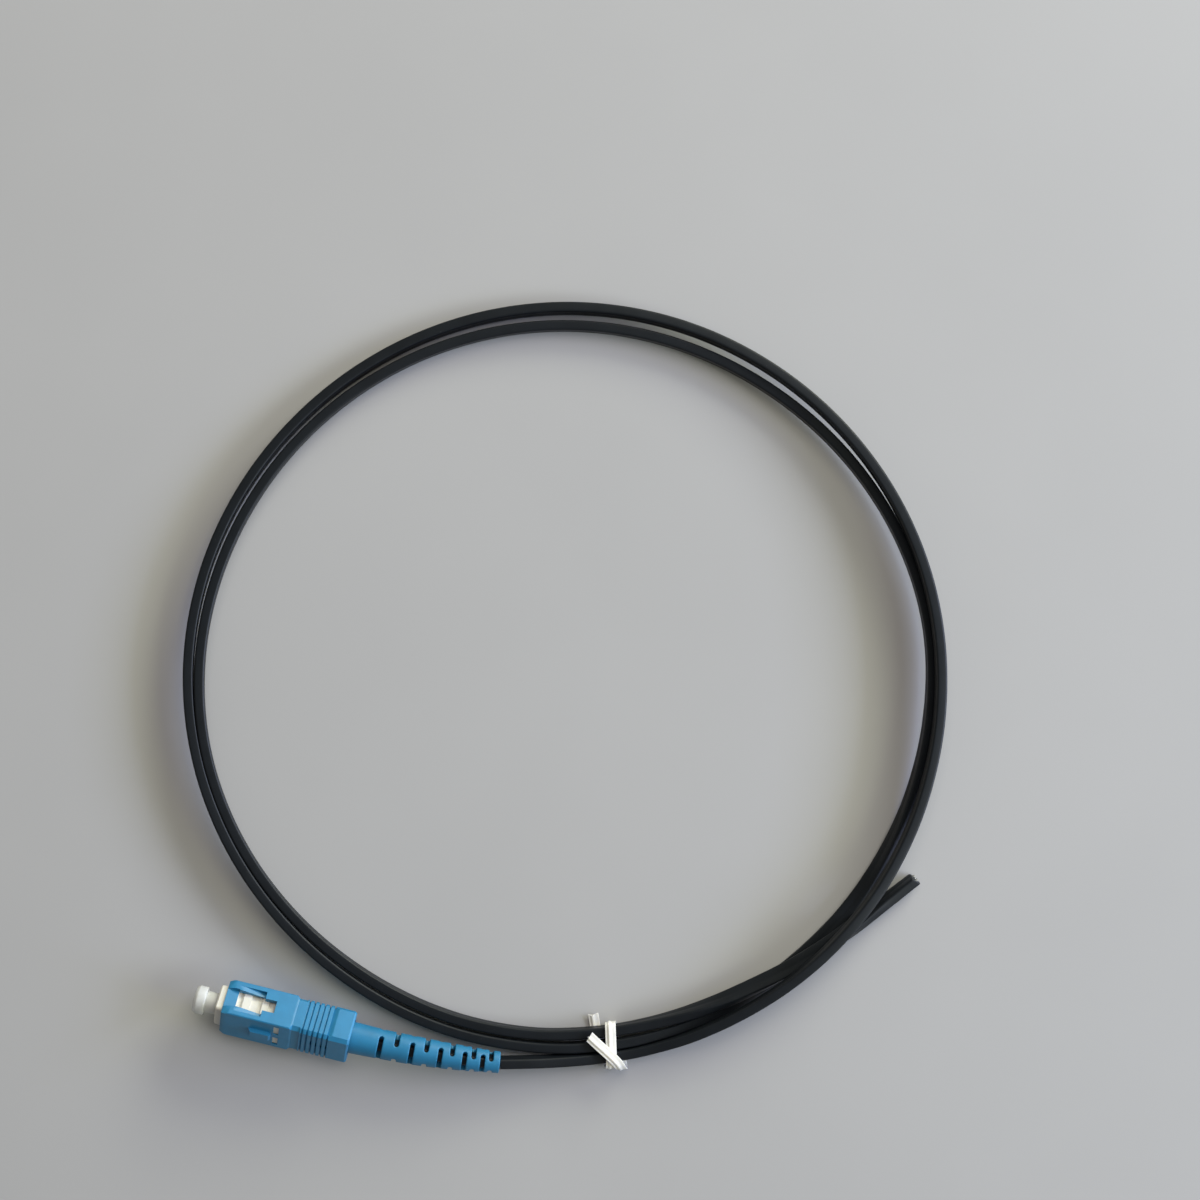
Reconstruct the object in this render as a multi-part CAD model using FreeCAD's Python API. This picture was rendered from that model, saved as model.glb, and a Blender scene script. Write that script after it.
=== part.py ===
import FreeCAD, Part
import math
import os

V = FreeCAD.Vector
os.makedirs("parts", exist_ok=True)

# ---------------------------------------------------------------- driving dimensions (mm)
# Frame: Z = 0 is the table. X runs along the plug, from the dust cap to the boot. The origin is
# under the middle of the connector, so the connector's own box is centred on it.
GRIP_L = 25.1            # outer grip housing, front edge to rear edge
GRIP_Y = 9.0             # between the two window faces
GRIP_Z = 7.4             # between the two wide faces
GRIP_REAR_Y = 8.8        # rear (finger) part of the grip, between the window faces
GRIP_CHAMFER = 0.7       # corner chamfer of the finger part
SHOULDER_X = 13.4        # where the front block steps down to the finger part
RIB_X0, RIB_PITCH, RIBS = 15.75, 1.0, 5
CAV_Y, CAV_Z = 6.82, 5.62    # rectangular cavity that slides on the plug frame
CAV_L = 17.5
BORE_REAR = 6.9          # round opening at the rear, round the boot's head
ROLL = 36.0              # lean of the window face from straight up, toward the coil
AXIS_Z = 5.71            # height of the optical axis over the table
X_SHIFT = -24.19         # grip front edge lies this far from the origin

FRAME_FRONT, FRAME_REAR = -1.40, 15.5
FRAME_Y, FRAME_Z, FRAME_R = 6.70, 5.50, 0.6
FRAME_MOUTH = 4.70       # round opening round the ferrule
FRAME_BORE = 4.40        # bore that guides the ferrule flange
FERRULE_D, FERRULE_L, FERRULE_TIP = 2.50, 10.5, -3.15
FIBRE_D, COATING_D = 0.125, 0.25
CAP_TIP, CAP_HEAD_L, CAP_HEAD_D, CAP_TUBE_D, CAP_BORE = -5.9, 2.2, 5.44, 4.1, 2.54
CAP_DEPTH = 1.6
SPRING_WIRE, SPRING_MEAN, SPRING_X0, SPRING_X1, SPRING_TURNS = 0.45, 3.80, 5.30, 12.50, 6.5

BOOT_START, BOOT_BEND_X, BOOT_END_X = 18.6, 23.0, 54.0
BOOT_SIDE, BOOT_DROOP = 2.05, 1.22       # how far the boot's end leans to the coil and sags
BOOT_HEAD_D = 6.3
# outside radius of the boot against distance behind the grip's rear edge
BOOT_RADII = [(-2.1, 3.06), (0.0, 3.04), (3.0, 2.96), (6.0, 2.87), (12.0, 2.78), (17.0, 2.61),
              (22.0, 2.41), (25.5, 2.23), (28.9, 2.09)]
SLOT_W, SPAN_LOW, SPAN_HIGH = 0.88, 136.0, 121.0
SLOTS_LOW = [5.75, 11.85, 17.35, 22.05, 25.55]      # centred low on the open side
SLOTS_HIGH = [8.80, 14.60, 19.60, 23.75, 27.15]     # centred a quarter turn further round
SLOT_LOW_AT, SLOT_HIGH_AT = -28.0, 69.5             # from straight up, toward the coil

CABLE_W, CABLE_H, CABLE_R = 2.0, 3.0, 0.55          # flat drop cable, standing on its narrow side
CABLE_HOLE = 0.12                                   # room round the cable in the boot
ROD_D, ROD_OFFSET = 0.50, 0.95                      # the two strength rods in the jacket
JACKET_START = 20.9

# The loop: centre, and the middle of each turn as (direction in degrees, radius).
COIL_C = (24.71, 76.01)
COIL_H = 3.3
TURN_OUT = [(284, 72.90), (304, 72.70), (324, 72.73), (344, 72.75), (4, 72.65), (24, 72.80),
            (44, 72.75), (64, 72.68), (84, 72.58), (104, 72.51), (124, 72.42), (144, 72.44),
            (164, 72.71), (184, 72.96), (204, 72.73), (224, 72.03), (244, 71.25), (264, 70.83),
            (284, 70.49)]
TURN_IN = [(304, 70.30), (324, 69.97), (344, 70.05), (4, 70.45), (24, 70.80), (44, 70.29),
           (64, 69.40), (84, 68.94), (104, 68.92), (124, 69.21), (144, 69.63), (164, 70.15),
           (184, 70.88), (204, 70.65), (224, 70.00), (244, 69.13), (264, 68.58), (284, 68.11)]
JOIN_AT = 294.0          # direction at which the lead reaches the loop
HUMP = (311.0, 351.0, 7.1)   # the loop rises here, where the tail passes under it

# Route of the lead, from the boot to the loop, and of the tail, from the loop to the cut end.
LEAD = [(29.95, 2.05, 4.60), (35.0, 3.00, 4.05), (40.2, 4.60, 3.00), (45.4, 6.30, 2.06),
        (50.8, 8.25, 1.97), (56.0, 10.45, 1.85)]
TAIL = [(87.6, 40.9, 1.50), (94.1, 48.1, 1.50), (100.05, 55.33, 1.50)]

TIE_AT = 289.3           # direction of the tie, seen from the loop's centre
TIE_W, TIE_T, TIE_RIB_W, TIE_RIB_T, TIE_WIRE = 2.2, 0.25, 0.80, 0.50, 0.36
TIE_R0, TIE_R1, TIE_Z0, TIE_Z1 = 66.85, 74.05, 0.50, 3.55

made = []


def out(shape, name):
    if shape.ShapeType == "Compound" and len(shape.Solids) == 1:
        shape = shape.Solids[0]
    ok = shape.isValid()
    print("%-18s valid=%s solids=%d volume=%.3f" % (name, ok, len(shape.Solids), shape.Volume))
    shape.exportStep("parts/%s.step" % name)
    made.append((name, shape))


# ---------------------------------------------------------------- small makers
def box(x0, x1, y0, y1, z0, z1):
    return Part.makeBox(x1 - x0, y1 - y0, z1 - z0, V(x0, y0, z0))


def cyl(x0, x1, d, y=0.0, z=0.0):
    return Part.makeCylinder(d / 2.0, x1 - x0, V(x0, y, z), V(1, 0, 0))


def revolve(pts):
    """Solid of revolution about X from (x, r) points."""
    w = Part.makePolygon([V(x, r, 0) for x, r in pts] + [V(pts[0][0], pts[0][1], 0)])
    return Part.Face(w).revolve(V(0, 0, 0), V(1, 0, 0), 360)


def section(x, half_y, half_z, c):
    """Closed chamfered rectangle in the plane X = x."""
    pts = [(half_y - c, half_z), (half_y, half_z - c), (half_y, -half_z + c), (half_y - c, -half_z),
           (-half_y + c, -half_z), (-half_y, -half_z + c), (-half_y, half_z - c),
           (-half_y + c, half_z)]
    return Part.makePolygon([V(x, y, z) for y, z in pts + [pts[0]]])


def prism_x(points_yz, x0, x1):
    w = Part.makePolygon([V(x0, y, z) for y, z in points_yz + [points_yz[0]]])
    return Part.Face(w).extrude(V(x1 - x0, 0, 0))


def prism_xy(points, z0, z1):
    w = Part.makePolygon([V(x, y, z0) for x, y in points + [points[0]]])
    return Part.Face(w).extrude(V(0, 0, z1 - z0))


def both(shape):
    """The shape and its mirror image in the plane Y = 0."""
    return shape.fuse(shape.mirror(V(0, 0, 0), V(0, 1, 0)))


def rounded_rect_wire(centre, u, v, w, h, r):
    """Rounded rectangle, w along u and h along v."""
    a, b = w / 2.0, h / 2.0
    k = r * (1 - math.sqrt(0.5))
    p = lambda s, t: centre + u * s + v * t
    edges = []
    corners = [(a, b), (-a, b), (-a, -b), (a, -b)]
    arcs = [((a, b - r), (a - k, b - k), (a - r, b)), ((-a + r, b), (-a + k, b - k), (-a, b - r)),
            ((-a, -b + r), (-a + k, -b + k), (-a + r, -b)), ((a - r, -b), (a - k, -b + k), (a, -b + r))]
    for n, (s, m, e) in enumerate(arcs):
        edges.append(Part.Arc(p(*s), p(*m), p(*e)).toShape())
        nxt = arcs[(n + 1) % 4][0]
        if (p(*e) - p(*nxt)).Length > 1e-6:
            edges.append(Part.LineSegment(p(*e), p(*nxt)).toShape())
    return Part.Wire(edges)


def arc_route(points, name):
    """Straight runs joined by tangent arcs, each as large as its two runs allow."""
    pts = [V(*p) for p in points]
    edges, start, radii = [], pts[0], []
    for i in range(1, len(pts) - 1):
        a, b = pts[i] - pts[i - 1], pts[i + 1] - pts[i]
        la, lb = a.Length, b.Length
        a.normalize()
        b.normalize()
        turn = a.getAngle(b)
        cut = 0.45 * min(la, lb)
        radius = cut / math.tan(turn / 2.0)
        radii.append(round(radius, 1))
        p, q = pts[i] - a * cut, pts[i] + b * cut
        bis = (b - a)
        bis.normalize()
        centre_d = radius / math.cos(turn / 2.0)
        mid = pts[i] + bis * (centre_d - radius)
        edges.append(Part.LineSegment(start, p).toShape())
        edges.append(Part.Arc(p, mid, q).toShape())
        start = q
    edges.append(Part.LineSegment(start, pts[-1]).toShape())
    print(name, "arc radii", radii, "length %.1f" % sum(e.Length for e in edges))
    return Part.Wire(edges)


def tube(wire, start, tangent, up, name, w=CABLE_W, h=CABLE_H, r=CABLE_R):
    t = V(tangent)
    t.normalize()
    side = up.cross(t)
    side.normalize()
    top = t.cross(side)
    prof = rounded_rect_wire(start, side, top, w, h, r)
    area = Part.Face(prof).Area
    solid = wire.makePipeShell([prof], True, False)
    print(name, "volume %.2f, section x length %.2f" % (solid.Volume, area * wire.Length))
    return solid


def place(shape):
    """Plug frame of reference (x from the grip's front, y to the window, z to the key) to the table's."""
    s = shape.copy()
    s.rotate(V(0, 0, 0), V(1, 0, 0), 90.0 - ROLL)
    s.translate(V(X_SHIFT, 0, AXIS_Z))
    return s


# ---------------------------------------------------------------- grip housing
HY, HZ, RY = GRIP_Y / 2.0, GRIP_Z / 2.0, GRIP_REAR_Y / 2.0
SX = SHOULDER_X
NECK = 0.22              # the wide faces lie this much lower between the shoulder and the ribs
front = Part.makeLoft([section(0.0, HY, HZ, 0.18), section(SX, HY, HZ, 0.18)], True, True)
shoulder = Part.makeLoft([section(SX, HY, HZ, 0.18), section(SX + 0.45, RY, HZ - NECK, GRIP_CHAMFER)], True, True)
neck = Part.makeLoft([section(SX + 0.45, RY, HZ - NECK, GRIP_CHAMFER), section(RIB_X0, RY, HZ - NECK, GRIP_CHAMFER)], True, True)
finger = Part.makeLoft([section(RIB_X0 - 0.30, RY, HZ, GRIP_CHAMFER), section(GRIP_L, RY, HZ, GRIP_CHAMFER)], True, True)
grip = front.fuse(shoulder).fuse(neck).fuse(finger)

# ribs: flat-topped, with narrow grooves between them all the way round
GROOVE = 0.34
for n in range(RIBS + 1):
    x = RIB_X0 + n * RIB_PITCH
    ring_o = box(x - 0.02, x + 0.34, -6, 6, -6, 6)
    core = Part.makeLoft([section(x - 0.02, RY - GROOVE, HZ - GROOVE, GRIP_CHAMFER * 0.85),
                          section(x + 0.12, RY - GROOVE, HZ - GROOVE, GRIP_CHAMFER * 0.85),
                          section(x + 0.34, RY - 0.04, HZ - 0.04, GRIP_CHAMFER)], True, True)
    grip = grip.cut(ring_o.cut(core))
# behind the ribs the window faces fall to the rib floor and rise again to the rear band
dip = prism_xy([(20.75, RY - 0.42), (20.75, 6.0), (21.75, 6.0), (21.75, RY - 0.02), (21.55, RY - 0.04)], -6, 6)
grip = grip.cut(both(dip))

# rear edge: a small lip
lip = Part.makeLoft([section(24.75, RY, HZ, GRIP_CHAMFER), section(GRIP_L, RY - 0.22, HZ - 0.22, GRIP_CHAMFER * 0.9)], True, True)
grip = grip.cut(box(24.75, GRIP_L + 0.1, -6, 6, -6, 6).cut(lip))

# front edge of the window faces: chamfered rails each side, a lower sloping bar between them
for sgn in (1, -1):
    rail = prism_xy([(-0.1, sgn * (HY - 0.80)), (-0.1, sgn * 6.0), (1.55, sgn * 6.0), (1.55, sgn * HY)], -6, 6)
    grip = grip.cut(rail)
bar = prism_xy([(-0.1, HY - 0.78), (-0.1, 6.0), (2.3, 6.0), (2.3, HY - 0.92)], -1.95, 1.95)
grip = grip.cut(both(bar))
# front edge of the wide faces: short bevel
for sgn in (1, -1):
    w = Part.makePolygon([V(-0.1, -6, sgn * (HZ - 0.30)), V(-0.1, -6, sgn * 6), V(0.75, -6, sgn * 6),
                          V(0.75, -6, sgn * HZ), V(-0.1, -6, sgn * (HZ - 0.30))])
    grip = grip.cut(Part.Face(w).extrude(V(0, 12, 0)))

# cavity and rear bore
grip = grip.cut(box(-1, CAV_L, -CAV_Y / 2, CAV_Y / 2, -CAV_Z / 2, CAV_Z / 2))
grip = grip.cut(cyl(CAV_L - 0.5, GRIP_L + 1, BORE_REAR))
# pocket that the plug frame's lugs run in, in both wide walls
LUG_X0, LUG_X1 = 13.3, 14.3
TRAVEL_BACK, TRAVEL_FORE = 1.4, 0.4
for sgn in (1, -1):
    z0, z1 = sorted((sgn * 2.5, sgn * (CAV_Z / 2 + 0.36)))
    grip = grip.cut(box(LUG_X0 - TRAVEL_BACK - 0.05, LUG_X1 + TRAVEL_FORE + 0.05, -1.3, 1.3, z0, z1))
# pockets for the two raised pads of the plug frame that show in the slots behind the key
PAD_X0, PAD_X1, PAD_Y, PAD_Z = 10.2, 11.8, 3.30, 3.42
for sgn in (1, -1):
    z0, z1 = sorted((sgn * 2.5, sgn * (PAD_Z + 0.06)))
    grip = grip.cut(box(PAD_X0 - TRAVEL_BACK - 0.08, PAD_X1 + TRAVEL_FORE + 0.08, -PAD_Y - 0.08, PAD_Y + 0.08, z0, z1))

# windows: wide part, narrow slot behind it, cam ramps along the long sides
WIN_X0, WIN_X1, SLOT_X1 = 2.25, 7.50, 9.80
win = box(WIN_X0, WIN_X1, 2.0, 6.0, -2.72, 2.72).fuse(box(WIN_X1 - 0.1, SLOT_X1, 2.0, 6.0, -1.30, 1.30))
grip = grip.cut(both(win))
for sgn in (1, -1):
    z0, z1 = sorted((sgn * 1.80, sgn * 3.0))
    ramp = prism_xy([(WIN_X0 - 0.2, CAV_Y / 2), (WIN_X0 - 0.2, HY - 0.02), (WIN_X0 + 1.1, HY - 0.06),
                     (WIN_X1 + 0.2, CAV_Y / 2 + 0.16), (WIN_X1 + 0.2, CAV_Y / 2)], z0, z1)
    grip = grip.fuse(both(ramp))
grip = grip.cut(both(prism_xy([(-0.1, HY - 0.78), (-0.1, 6.0), (2.3, 6.0), (2.3, HY - 0.92)], -1.95, 1.95)))
# two slots in the key face and two in the face opposite it, behind the key
for sgn in (1, -1):
    z0, z1 = sorted((sgn * 2.0, sgn * 6.0))
    for y0, y1 in ((0.66, 3.50), (-3.50, -0.66)):
        grip = grip.cut(box(10.45, 11.50, y0, y1, z0, z1))
# key
key = Part.makeLoft([Part.makePolygon([V(5.6, -1, HZ - 0.18), V(5.6, 1, HZ - 0.18), V(5.6, 1, HZ + 0.02), V(5.6, -1, HZ + 0.02), V(5.6, -1, HZ - 0.18)]),
                     Part.makePolygon([V(6.15, -1, HZ - 0.18), V(6.15, 1, HZ - 0.18), V(6.15, 1, HZ + 0.85), V(6.15, -1, HZ + 0.85), V(6.15, -1, HZ - 0.18)]),
                     Part.makePolygon([V(9.75, -1, HZ - 0.18), V(9.75, 1, HZ - 0.18), V(9.75, 1, HZ + 0.85), V(9.75, -1, HZ + 0.85), V(9.75, -1, HZ - 0.18)]),
                     Part.makePolygon([V(10.05, -1, HZ - 0.18), V(10.05, 1, HZ - 0.18), V(10.05, 1, HZ + 0.55), V(10.05, -1, HZ + 0.55), V(10.05, -1, HZ - 0.18)])],
                    True, True)
grip = grip.fuse(key)
grip = grip.removeSplitter()
out(place(grip), "grip_housing")

# ---------------------------------------------------------------- plug frame
fy, fz = FRAME_Y / 2.0, FRAME_Z / 2.0
prof = rounded_rect_wire(V(FRAME_FRONT, 0, 0), V(0, 1, 0), V(0, 0, 1), FRAME_Y, FRAME_Z, FRAME_R)
frame = Part.Face(prof).extrude(V(FRAME_REAR - FRAME_FRONT, 0, 0))
nose = Part.makeLoft([rounded_rect_wire(V(FRAME_FRONT, 0, 0), V(0, 1, 0), V(0, 0, 1), FRAME_Y - 0.5, FRAME_Z - 0.5, FRAME_R),
                      rounded_rect_wire(V(FRAME_FRONT + 0.25, 0, 0), V(0, 1, 0), V(0, 0, 1), FRAME_Y, FRAME_Z, FRAME_R)], True, True)
frame = frame.cut(box(FRAME_FRONT - 1, FRAME_FRONT + 0.25, -6, 6, -6, 6)).fuse(nose)
frame = frame.cut(cyl(FRAME_FRONT - 1, 3.2, FRAME_MOUTH))
frame = frame.cut(cyl(3.0, 4.2, 3.2))
frame = frame.cut(cyl(3.9, 12.5, FRAME_BORE))
frame = frame.cut(cyl(12.5, 16.0, 4.9))
# hook catches on the two window faces
for x0, x1, y in ((2.35, 3.15, 2.95), (4.95, 7.10, 2.85), (8.45, 16.0, 3.00)):
    frame = frame.cut(both(box(x0, x1, y, 6.0, -6, 6)))
bev = prism_xy([(3.15, fy - 0.22), (3.15, 6), (3.45, 6), (3.45, fy)], -6, 6)
frame = frame.cut(both(bev))
# holes that the stop ring's tabs snap into, and the lugs that limit the grip's travel
frame = frame.cut(box(12.9, 14.6, -6, 6, -1.0, 1.0))
for sgn in (1, -1):
    z0, z1 = sorted((sgn * (fz - 0.10), sgn * (fz + 0.36)))
    frame = frame.fuse(box(LUG_X0, LUG_X1, -1.2, 1.2, z0, z1))
    z0, z1 = sorted((sgn * (fz - 0.35), sgn * PAD_Z))
    frame = frame.fuse(box(PAD_X0, PAD_X1, -PAD_Y, PAD_Y, z0, z1))
frame = frame.removeSplitter()
out(place(frame), "plug_frame")

# ---------------------------------------------------------------- ferrule and what rides on it
fr = FERRULE_D / 2.0
ft, fe = FERRULE_TIP, FERRULE_TIP + FERRULE_L
ferrule = revolve([(ft, FIBRE_D / 2), (ft, fr - 0.45), (ft + 0.12, fr - 0.25), (ft + 0.45, fr), (fe, fr), (fe, 0.45),
                   (fe - 1.2, FIBRE_D / 2)])
out(place(ferrule), "ferrule")

flange = revolve([(3.92, fr), (3.92, 2.10), (5.30, 2.10), (5.30, 1.62), (8.30, 1.62), (8.60, 1.40), (9.40, 1.40),
                  (9.40, 0.75), (fe, 0.75), (fe, fr)])
for k in range(4):
    n = box(3.8, 5.5, 1.75, 3.0, -0.45, 0.45)
    n.rotate(V(0, 0, 0), V(1, 0, 0), 90.0 * k + 45.0)
    flange = flange.cut(n)
out(place(flange), "ferrule_flange")

guide = revolve([(fe, 0.45), (fe, 0.75), (14.8, 0.75), (14.8, 0.45)])
out(place(guide), "guide_tube")

bare = revolve([(ft, 0.0), (ft, FIBRE_D / 2), (fe - 1.2, FIBRE_D / 2), (fe - 1.2, 0.0)])
out(place(bare), "bare_fibre")

cr, tr, br = CAP_HEAD_D / 2.0, CAP_TUBE_D / 2.0, CAP_BORE / 2.0
head_end = CAP_TIP + CAP_HEAD_L
cap = revolve([(CAP_TIP + 0.12, 0.0), (CAP_TIP + 0.12, cr - 1.05), (CAP_TIP, cr - 0.90), (CAP_TIP, cr - 0.55), (CAP_TIP + 0.08, cr - 0.38),
               (CAP_TIP + 0.50, cr - 0.06), (CAP_TIP + 0.68, cr), (head_end - 0.12, cr), (head_end, cr - 0.12),
               (head_end, tr + 0.08), (head_end + 0.10, tr), (CAP_DEPTH - 0.15, tr), (CAP_DEPTH, tr - 0.15), (CAP_DEPTH, br + 0.15),
               (CAP_DEPTH - 0.2, br), (FERRULE_TIP - 0.25, br), (FERRULE_TIP - 0.45, br - 0.25), (FERRULE_TIP - 0.45, 0.0)])
out(place(cap), "dust_cap")

# spring: closed helix between the flange's collar and the stop ring
sp_len = SPRING_X1 - SPRING_X0 - SPRING_WIRE
helix = Part.makeHelix(sp_len / SPRING_TURNS, sp_len, SPRING_MEAN / 2.0)
wprof = Part.Wire([Part.makeCircle(SPRING_WIRE / 2.0, V(SPRING_MEAN / 2.0, 0, 0), V(0, 1, 0))])
spring = helix.makePipeShell([wprof], True, True)
spring.rotate(V(0, 0, 0), V(0, 1, 0), 90)
spring.translate(V(SPRING_X0 + SPRING_WIRE / 2.0, 0, 0))
out(place(spring), "spring")

# ---------------------------------------------------------------- stop ring, crimp sleeve
stop = revolve([(12.50, 1.30), (12.50, 2.45), (15.50, 2.45), (15.50, 2.70), (16.50, 2.70), (16.50, 1.80),
                (17.2, 1.80), (17.2, 1.68), (17.6, 1.68), (17.6, 1.80), (18.2, 1.80), (18.2, 1.68), (18.6, 1.68), (18.6, 1.80),
                (19.2, 1.80), (19.2, 1.68), (19.6, 1.68), (19.6, 1.80), (20.5, 1.80), (20.5, 1.30)])
tabs = box(13.0, 14.5, -2.95, 2.95, -0.95, 0.95).cut(cyl(12.0, 15.0, 4.2))
stop = stop.fuse(tabs).removeSplitter()
out(place(stop), "stop_ring")

SWEEP_UP = V(0, -math.sin(math.radians(12.0)), math.cos(math.radians(12.0)))
lean = math.hypot(BOOT_SIDE, BOOT_DROOP)
run = BOOT_END_X - BOOT_BEND_X
BEND = 2.0 * math.atan(lean / run)
BEND_R = run / math.sin(BEND)
BEND_DIR = V(0, BOOT_SIDE / lean, -BOOT_DROOP / lean)


def axis_at(x):
    """Point and direction of the boot's axis, x measured along the plug from the grip's front edge."""
    if x <= BOOT_BEND_X:
        return V(x + X_SHIFT, 0, AXIS_Z), V(1, 0, 0)
    a = min((x - BOOT_BEND_X) / BEND_R, BEND)
    p = V(BOOT_BEND_X + X_SHIFT, 0, AXIS_Z) + V(1, 0, 0) * (BEND_R * math.sin(a)) + BEND_DIR * (BEND_R * (1 - math.cos(a)))
    return p, V(math.cos(a), 0, 0) + BEND_DIR * math.sin(a)


ARC_END = BOOT_BEND_X + BEND_R * BEND      # arc length at the boot's end
p_mid, _ = axis_at(BOOT_BEND_X + BEND_R * BEND / 2.0)
p_end, t_end = axis_at(ARC_END)
print("boot end", p_end, "direction", t_end, "bend radius %.1f" % BEND_R)
p_bend, _ = axis_at(BOOT_BEND_X)
p_jack, _ = axis_at(JACKET_START)
bend_arc = Part.Arc(p_bend, p_mid, p_end).toShape()
inner_path = Part.Wire([Part.LineSegment(p_jack, p_bend).toShape(), bend_arc])

jacket = tube(inner_path, p_jack, V(1, 0, 0), SWEEP_UP, "cable_in_boot")
side_in = SWEEP_UP.cross(V(1, 0, 0))
rods = []
for sgn in (1, -1):
    off = SWEEP_UP * (sgn * ROD_OFFSET)
    path = inner_path.copy()
    path.translate(off)
    # the rod keeps its distance in the jacket: its path is the jacket's, moved along the wide side
    rods.append(path.makePipeShell([Part.Wire([Part.makeCircle(ROD_D / 2.0, p_jack + off, V(1, 0, 0))])], True, False))
coat_in = inner_path.makePipeShell([Part.Wire([Part.makeCircle(COATING_D / 2.0, p_jack, V(1, 0, 0))])], True, False)
for r in rods + [coat_in]:
    jacket = jacket.cut(r)
out(jacket, "cable_in_boot")
out(Part.makeCompound(rods), "strength_rods")
coat_start, _ = axis_at(9.2)
coat_path = Part.Wire([Part.LineSegment(coat_start, p_bend).toShape(), bend_arc])
coat = coat_path.makePipeShell([Part.Wire([Part.makeCircle(COATING_D / 2.0, coat_start, V(1, 0, 0))])], True, False)
out(coat, "coated_fibre")

# crimp sleeve: round over the stop ring's post, flattened over the cable behind it
sleeve = place(cyl(16.6, 20.7, 4.5).cut(cyl(16.0, 20.7, 3.62)))
flat_o = tube(Part.Wire([Part.LineSegment(axis_at(20.7)[0], axis_at(23.6)[0]).toShape()]), axis_at(20.7)[0], V(1, 0, 0), SWEEP_UP, "crimp outer", 2.9, 3.9, 0.9)
web = place(cyl(20.5, 20.9, 4.5))
flat_i = tube(Part.Wire([Part.LineSegment(axis_at(20.4)[0], axis_at(23.8)[0]).toShape()]), axis_at(20.4)[0], V(1, 0, 0), SWEEP_UP, "crimp inner", CABLE_W, CABLE_H, CABLE_R)
sleeve = sleeve.fuse(web).fuse(flat_o).cut(flat_i).cut(place(cyl(16.0, 20.5, 3.62))).removeSplitter()
out(sleeve, "crimp_sleeve")

# ---------------------------------------------------------------- boot
def disc(s, radius):
    """Circle of the boot at s behind the grip's rear edge (measured along the axis)."""
    p, t = axis_at(GRIP_L + s)
    return Part.Wire([Part.makeCircle(radius, p, t)])


end_s = ARC_END - GRIP_L
loft = Part.makeLoft([disc(min(s, end_s), r) for s, r in BOOT_RADII], True, False)
head = place(revolve([(BOOT_START, 0.0), (BOOT_START, BOOT_HEAD_D / 2 - 0.2), (BOOT_START + 0.2, BOOT_HEAD_D / 2), (20.6, BOOT_HEAD_D / 2),
                      (21.0, 3.06), (GRIP_L - 2.1, 3.06), (GRIP_L - 2.1, 0.0)]))
boot = head.fuse(loft)
boot = boot.cut(place(cyl(BOOT_START - 1, 23.9, 4.62)))
hole_path = Part.Wire([Part.LineSegment(axis_at(20.0)[0], p_bend).toShape(), bend_arc,
                       Part.LineSegment(p_end, p_end + t_end * 1.0).toShape()])
hole = tube(hole_path, axis_at(20.0)[0], V(1, 0, 0), SWEEP_UP, "boot hole", CABLE_W + 2 * CABLE_HOLE, CABLE_H + 2 * CABLE_HOLE, CABLE_R + CABLE_HOLE)
boot = boot.cut(hole)
boot_radius = lambda s: [r0 + (r1 - r0) * (s - s0) / (s1 - s0) for (s0, r0), (s1, r1) in zip(BOOT_RADII, BOOT_RADII[1:]) if s0 <= s <= s1][0]


def slot(s, centre_deg, span):
    """Slot across the boot's wall: a sector of a thin disc with two round ends."""
    p, t = axis_at(GRIP_L + s)
    half = span / 2.0
    end_gap = math.degrees(SLOT_W / 2.0 / boot_radius(s))
    up = V(0, 0, 1) - t * t.z
    up.normalize()
    side = up.cross(t)          # points to the coil
    side = side * (1 if side.y > 0 else -1)

    def ray(deg):
        a = math.radians(deg)
        return up * math.cos(a) + side * math.sin(a)
    h = half - end_gap
    pts = [p] + [p + ray(centre_deg + k) * 8.0 for k in (-h, -h / 2.0, 0.0, h / 2.0, h)]
    wedge = Part.Face(Part.makePolygon(pts + [pts[0]])).extrude(t * SLOT_W)
    wedge.translate(t * (-SLOT_W / 2.0))
    tool = wedge
    for k in (-h, h):
        tool = tool.fuse(Part.makeCylinder(SLOT_W / 2.0, 8.0, p, ray(centre_deg + k)))
    return tool


for places, at, span in ((SLOTS_LOW, SLOT_LOW_AT, SPAN_LOW), (SLOTS_HIGH, SLOT_HIGH_AT, SPAN_HIGH)):
    for s in places:
        for turn in (0.0, 180.0):
            boot = boot.cut(slot(s, at + turn, span))
boot = boot.removeSplitter()
if boot.Volume < 0:
    boot = boot.reversed()
out(boot, "boot")

# ---------------------------------------------------------------- cable
def polar(deg, r, z=0.0):
    a = math.radians(deg)
    return V(COIL_C[0] + r * math.cos(a), COIL_C[1] + r * math.sin(a), z)


lead_pts = list(LEAD)
lead_pts[0] = (p_end.x, p_end.y, p_end.z)
p_second = p_end + t_end * 5.1          # straight out of the boot first
lead_pts[1] = (p_second.x, p_second.y, p_second.z)
lead_wire = arc_route(lead_pts, "lead")
t0 = V(*lead_pts[1]) - V(*lead_pts[0])
lead_tube = tube(lead_wire, V(*lead_pts[0]), t0, V(0, 0, 1), "cable_lead")
tail_wire = arc_route(TAIL, "tail")
tail_tube = tube(tail_wire, V(*TAIL[0]), V(*TAIL[1]) - V(*TAIL[0]), V(0, 0, 1), "cable_tail")

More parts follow.
